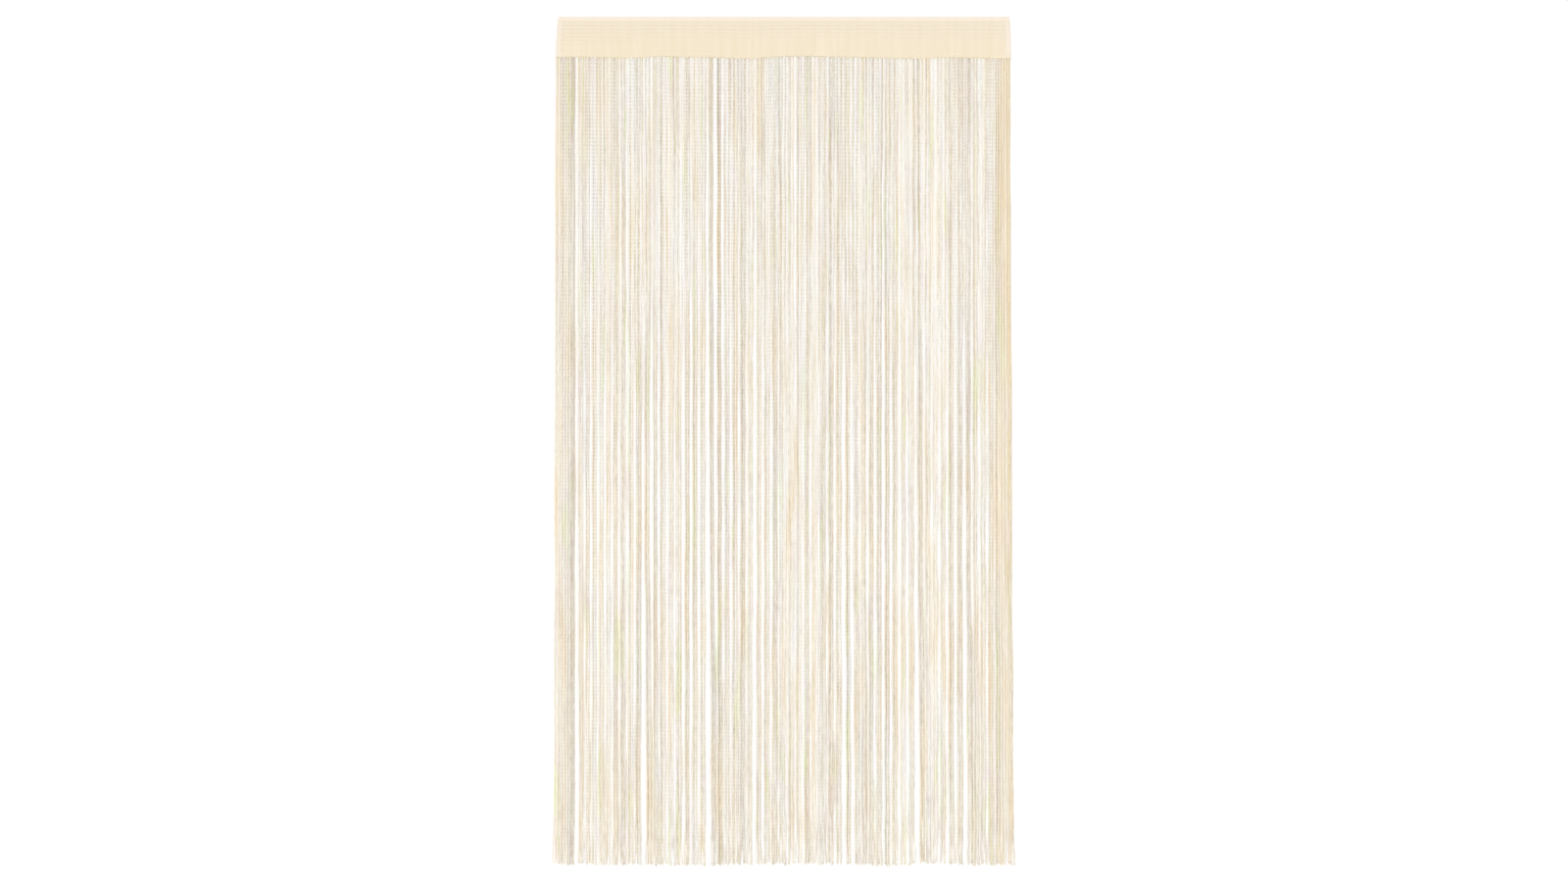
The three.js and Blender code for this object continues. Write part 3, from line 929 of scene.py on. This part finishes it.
def heading_material():
    """Warp-knitted polyester cloth: matt and smooth, cream, with painted shade in the grooves between its
    ribs and a painted highlight on the fold at the top.
    """
    material, tree = new_material("warp_knitted_cloth")
    place = add_node(tree, "ShaderNodeTexCoord").outputs["Object"]
    streaks = add_patches(tree, place, **CLOTH_STREAKS)
    cream = add_node(tree, "ShaderNodeValToRGB", inputs={"Fac": streaks}, stops=CLOTH_CREAMS)
    # Painted shade in the grooves between the ribs
    groove_shaded = laid_over(tree, cream, "groove", **GROOVE_SHADE)
    # Painted highlight on the top fold, with the paler doubled cloth of the hems
    base = laid_over(tree, groove_shaded, "stretched", **HEMS_AND_FOLD_HIGHLIGHT)
    wales = add_ridges(tree, place, **WALES)
    add_surface(tree, {"Base Color": base, "Normal": wales, **CLOTH_FINISH})
    return material


def toned_yarn(tree, place, drift):
    """The yarn's cream, from pale to tan by its tone and its slubs."""
    tone = add_node(tree, "ShaderNodeAttribute", {"attribute_name": "tone"}).outputs["Fac"]
    slubs = add_patches(tree, place, **YARN_SLUBS)
    more = {"operation": "MULTIPLY_ADD"}
    drifted = add_node(tree, "ShaderNodeMath", more, {0: drift, 1: YARN_TONE["drift"], 2: tone})
    slubbed = add_node(tree, "ShaderNodeMath", more, {0: slubs, 1: YARN_TONE["slubs"], 2: drifted})
    centred = add_node(tree, "ShaderNodeMath", {"operation": "SUBTRACT"}, {0: slubbed, 1: YARN_TONE["less"]})
    return add_node(tree, "ShaderNodeValToRGB", inputs={"Fac": centred}, stops=YARN_CREAMS)


def tinted_yarn(tree, place, cream):
    """The cream under each tint of the dye in turn."""
    for tint in YARN_TINTS:
        batches = add_patches(tree, place, start=tint["start"], **YARN_DYE)
        cast = add_node(tree, "ShaderNodeValToRGB", inputs={"Fac": batches}, stops=tint["tints"])
        cream = add_node(
            tree,
            "ShaderNodeMix",
            {"data_type": "RGBA", "blend_type": "MULTIPLY"},
            {SHARE: tint["share"], UNDER: cream, OVER: cast},
        )
    return cream


def yarn_with_waist_shade(tree, drift, dyed):
    """The dyed yarn with painted shade at the waist of each course, clearly in some patches and faintly in
    others.
    """
    down = add_node(tree, "ShaderNodeAttribute", {"attribute_name": "down"}).outputs["Fac"]
    stitch = add_node(tree, "ShaderNodeAttribute", {"attribute_name": "stitch"}).outputs["Fac"]
    half = WAIST_SHADE["share"] / 2
    times = {"operation": "MULTIPLY"}
    more = {"operation": "MULTIPLY_ADD"}
    course = add_node(tree, "ShaderNodeMath", times, {0: down, 1: 2 * math.pi / COURSE})
    swing = add_node(tree, "ShaderNodeMath", {"operation": "COSINE"}, {0: course})
    waist = add_node(tree, "ShaderNodeMath", more, {0: swing, 1: half, 2: half})
    patchy = add_node(tree, "ShaderNodeMath", more, {0: drift, 1: WAIST_SHADE["by_drift"], 2: -WAIST_SHADE["less"]})
    clear = add_node(tree, "ShaderNodeMath", {**times, "use_clamp": True}, {0: stitch, 1: patchy})
    # Painted shade at each waist, as strong as the string's courses
    hollow = add_node(tree, "ShaderNodeMath", times, {0: waist, 1: clear})
    inputs = {SHARE: hollow, UNDER: dyed, OVER: linear(WAIST_SHADE["colour"])}
    return add_node(tree, "ShaderNodeMix", {"data_type": "RGBA"}, inputs)


def yarn_material():
    """Chain-knitted polyester yarn: matt, cream drifting to tan, cooler or warmer and greener or pinker from
    lock to lock, with painted shade at the waist of each course."""
    material, tree = new_material("chain_knitted_yarn")
    place = add_node(tree, "ShaderNodeTexCoord").outputs["Object"]
    drift = add_patches(tree, place, **YARN_DRIFT)
    tinted = tinted_yarn(tree, place, toned_yarn(tree, place, drift))
    dyed = laid_over(tree, tinted, "yellow", **WHERE_YELLOW)
    base = yarn_with_waist_shade(tree, drift, dyed)
    loops = add_ridges(tree, place, **LOOPS)
    add_surface(tree, {"Base Color": base, "Normal": loops, **YARN_FINISH})
    return material


def thread_material(name, creams):
    """Spun thread: matt, a little lighter and darker from place to place."""
    material, tree = new_material(name)
    place = add_node(tree, "ShaderNodeTexCoord").outputs["Object"]
    patches = add_patches(tree, place, **THREAD_PATCHES)
    base = add_node(tree, "ShaderNodeValToRGB", inputs={"Fac": patches}, stops=creams)
    add_surface(tree, {"Base Color": base, **THREAD_FINISH})
    return material


# Studio


def photo_camera():
    """Straight in front, level with the middle of the photograph."""
    pixel = PHOTO["pixel"]
    data = bpy.data.cameras.new("photo_camera")
    data.sensor_width = SENSOR
    data.lens = SENSOR * CAMERA_DISTANCE / (PHOTO["width"] * pixel)
    data.clip_end = 2 * FLOOR_RADIUS * MM
    camera = bpy.data.objects.new("photo_camera", data)
    across = (PHOTO["width"] / 2 - PHOTO["middle"]) * pixel
    down = (PHOTO["height"] / 2 - PHOTO["top_edge"]) * pixel
    camera.location = Vector((across, -CAMERA_DISTANCE, -down)) * MM
    camera.rotation_euler = (math.pi / 2, 0, 0)
    bpy.context.scene.collection.objects.link(camera)
    bpy.context.scene.camera = camera


def soft_sun(name, strength, tilt, turn):
    """A broad sun."""
    light = bpy.data.lights.new(name, "SUN")
    light.energy = strength
    light.angle = math.radians(SUN_SOFTNESS)
    lamp = bpy.data.objects.new(name, light)
    lamp.rotation_euler = (math.radians(tilt), 0, math.radians(turn))
    bpy.context.scene.collection.objects.link(lamp)


def white_surroundings():
    """Full white where they are seen, and a little less bright as light."""
    world = bpy.data.worlds.new("white_surroundings")
    world.use_nodes = True
    tree = world.node_tree
    tree.nodes.clear()
    seen = add_node(tree, "ShaderNodeLightPath").outputs["Is Camera Ray"]
    white = linear("#FFFFFF")
    light = add_node(tree, "ShaderNodeBackground", inputs={"Color": white, "Strength": SURROUND_LIGHT})
    backdrop = add_node(tree, "ShaderNodeBackground", inputs={"Color": white, "Strength": SURROUND_SEEN})
    either = add_node(tree, "ShaderNodeMixShader", inputs={0: seen, 1: light, 2: backdrop})
    add_node(tree, "ShaderNodeOutputWorld", inputs={"Surface": either})
    bpy.context.scene.world = world


def pale_floor():
    """A wide floor that the strings hang clear of."""
    material, tree = new_material("matt_white_paint")
    add_surface(tree, {"Base Color": linear(FLOOR_PAINT), "Roughness": FLOOR_ROUGHNESS})
    bm = bmesh.new()
    bmesh.ops.create_circle(bm, cap_ends=True, segments=FLOOR_SIDES, radius=FLOOR_RADIUS)
    bmesh.ops.translate(bm, verts=bm.verts, vec=(0, 0, -DROP - FLOOR_BELOW_STRINGS))
    object_of_bmesh("floor", bm, material)


# Scene: the studio, the heading with its seam, and the strings with their tape

photo_camera()
white_surroundings()
pale_floor()
for sun in SUNS:
    soft_sun(**sun)
bpy.context.scene.view_settings.view_transform = "Standard"

yarn = yarn_material()
tape_yarn = thread_material("overlocked_tape_yarn", TAPE_YARN_CREAMS)
thread = thread_material("spun_sewing_thread", THREAD_CREAMS)
strings = all_strings()

cloth = heading_cloth(heading_material())
seam = stitch_row("seam_stitches", seam_places(), SEAM_STITCH, thread)
for piece in (cloth, seam):
    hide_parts("heading")
    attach(piece, "root")

string_pieces = [
    string_tape(tape_yarn),
    stitch_row("tape_stitches", whip_places(strings), WHIP_STITCH, thread),
    string_tips(strings, yarn),
]
for place, name in enumerate(STRING_PIECES):
    chosen = slice(place * STRINGS_IN_A_PIECE, (place + 1) * STRINGS_IN_A_PIECE)
    part = {key: values[chosen] for key, values in strings.items()}
    string_pieces.append(lay_strings(name, part, yarn))
for piece in string_pieces:
    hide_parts("strings")
    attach(piece, "root")
